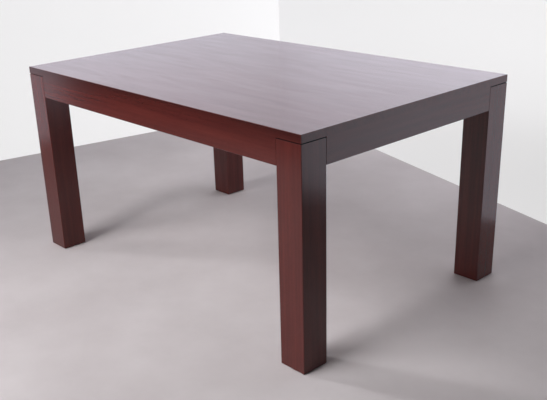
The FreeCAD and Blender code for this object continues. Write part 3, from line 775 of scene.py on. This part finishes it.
# %% Paint for a lit wall
WALL_PAINT = (0.285, 0.282, 0.29), (0.305, 0.302, 0.31)
FULL_GLOW = 2.0
SEEN_GLOW = {"left_wall": 0.665, "right_wall": 0.63}
GIVEN_TINT, MIRRORED_TINT = Vector((1.0, 0.99, 1.01)), Vector((1.0, 1.0, 1.14))
GIVEN_LIGHT = {
    "left_wall": [(0.0, 0.165), (1.0, 0.076)],
    "right_wall": [(0.0, 1.14), (0.5, 1.2), (1.0, 0.0)],
}
MIRRORED_GLOW = {
    "left_wall": [(0.0, 0.98), (0.42, 1.24), (0.95, 0.98)],
    "right_wall": [(0.0, 1.05), (0.1, 1.2), (0.52, 1.56), (0.73, 1.0), (0.83, 1.22), (1.0, 1.14)],
}


def tinted(tint, strengths):
    """Places and strengths as places and colours, for a ramp whose full strength is FULL_GLOW."""
    return [(place, tint * strength / FULL_GLOW) for place, strength in strengths]


def lit_wall_paint(name):
    """Wall paint with its own light for the lacquer, the room and the camera, and clear from behind."""
    finish = plain_paint(f"{name}_paint", *WALL_PAINT, scale=0.8)
    tree = finish.node_tree
    surface = tree.nodes["Principled BSDF"]
    ray = step(tree, "LightPath", {}).outputs
    run = WALL_ENDS[name] - ROOM_CORNER
    share = along(tree, place_in_room(tree, ROOM_CORNER), run / run.length_squared)
    glow = colours(tree, share, tinted(GIVEN_TINT, GIVEN_LIGHT[name]))
    mirrored = colours(tree, share, tinted(MIRRORED_TINT, MIRRORED_GLOW[name]))
    seen_glow = (*[SEEN_GLOW[name] / FULL_GLOW] * 3, 1)
    for kind, shown_glow in (("Is Glossy Ray", mirrored), ("Is Transmission Ray", mirrored),
                             ("Is Camera Ray", seen_glow)):
        glow = mixed(tree, ray[kind], glow, shown_glow)
    fill(tree, surface, {"Emission Color": glow, "Emission Strength": FULL_GLOW})
    front_only(tree, surface.outputs[0])
    return finish


print("walls from the corner at", tuple(round(part, 2) for part in ROOM_CORNER))

# %% Walls
WALL_HEIGHT = 2.6
for name, end in WALL_ENDS.items():
    run = end - ROOM_CORNER
    bpy.ops.mesh.primitive_plane_add(size=1)
    wall = started(name)
    wall.scale = (run.length, WALL_HEIGHT, 1)
    wall.rotation_euler = towards_table(run).to_track_quat("Z", "Y").to_euler()
    wall.location = ROOM_CORNER + run / 2 + UP * WALL_HEIGHT / 2
    wall.data.materials.append(lit_wall_paint(name))
    print(name, round(run.length, 2), "m long")

# %% [markdown]
# ## A dark screen
# The front of the table looks out into a dark room in the photograph, so its lacquer stays deep and red.
# A dark screen stands in for that dark room. It is a painted dark reflection: it shows only in the lacquer,
# casts no shadow, and the camera doesn't see it.

# %% Dark screen
SCREEN_PLACE, SCREEN_SIZE, SCREEN_TURN = (-1.35, -1.979, 0.6), (3.3, 1.2, 1), math.radians(-8)
bpy.ops.mesh.primitive_plane_add(size=1, location=SCREEN_PLACE, rotation=(math.pi / 2, 0, SCREEN_TURN))
screen = started("dark_screen")
screen.scale = SCREEN_SIZE
# Its paint puts the room's shade into the reflections as a painted dark reflection.
screen.data.materials.append(plain_paint("mirrored_dark_room", (0.03, 0.03, 0.03), (0.05, 0.05, 0.05), scale=5))
screen.visible_camera = False
screen.visible_diffuse = False
screen.visible_shadow = False
print("dark screen", tuple(round(size, 1) for size in screen.dimensions))

# %% [markdown]
# ## Light
# The light is soft. Most of it comes from high on the left, past the left wall, and weaker panels stand
# in front of the long side, so that face is red and warm and the short side lies in shade. The two
# smaller panels don't show in the lacquer, because they would glitter along the fine arris of the top.

# %% Light
def soft_panel(name, place, aim, size, watts, spread_angle, mirrored):
    bpy.ops.object.light_add(type="AREA", location=place)
    panel = started(name)
    panel.data.shape = "RECTANGLE"
    panel.data.size, panel.data.size_y = size
    panel.data.energy = watts
    panel.data.spread = math.radians(spread_angle)
    panel.rotation_euler = (Vector(aim) - Vector(place)).to_track_quat("-Z", "Y").to_euler()
    panel.visible_camera = False
    panel.visible_glossy = mirrored
    print(name, watts, "W")


soft_panel("left_lamp", (-3.4, -1.6, 2.8), (0, 0, 0.3), (1.4, 1.2), 45.5, spread_angle=80, mirrored=False)
soft_panel("front_lamp", (-0.7, -3.1, 3.0), (0, -0.3, 0.3), (2.0, 1.6), 25, spread_angle=90, mirrored=True)
soft_panel("far_lamp", (0.35, -4.4, 3.5), (0, 0, 0.3), (1.1, 1.0), 13.5, spread_angle=70, mirrored=False)
soft_panel("low_lamp", (-0.4, -4.4, 1.9), (0.1, -0.3, 0.3), (2.2, 1.6), 10, spread_angle=80, mirrored=True)

# %% [markdown]
# ## The rest of the room
# Beyond the walls the room is pale. The camera and the lacquer see that, but it adds no light of its own,
# because the panels and the walls already give all of it.

# %% Sky
SKY_COLOUR, SKY_STRENGTH = (0.97, 0.98, 1.0, 1), 0.9
world = bpy.data.worlds.new("soft_room")
bpy.context.scene.world = world
world.use_nodes = True
sky = world.node_tree
only_seen = product(sky, seen_directly(sky), SKY_STRENGTH)
fill(sky, sky.nodes["Background"], {"Color": SKY_COLOUR, "Strength": only_seen})
print("sky strength", SKY_STRENGTH)
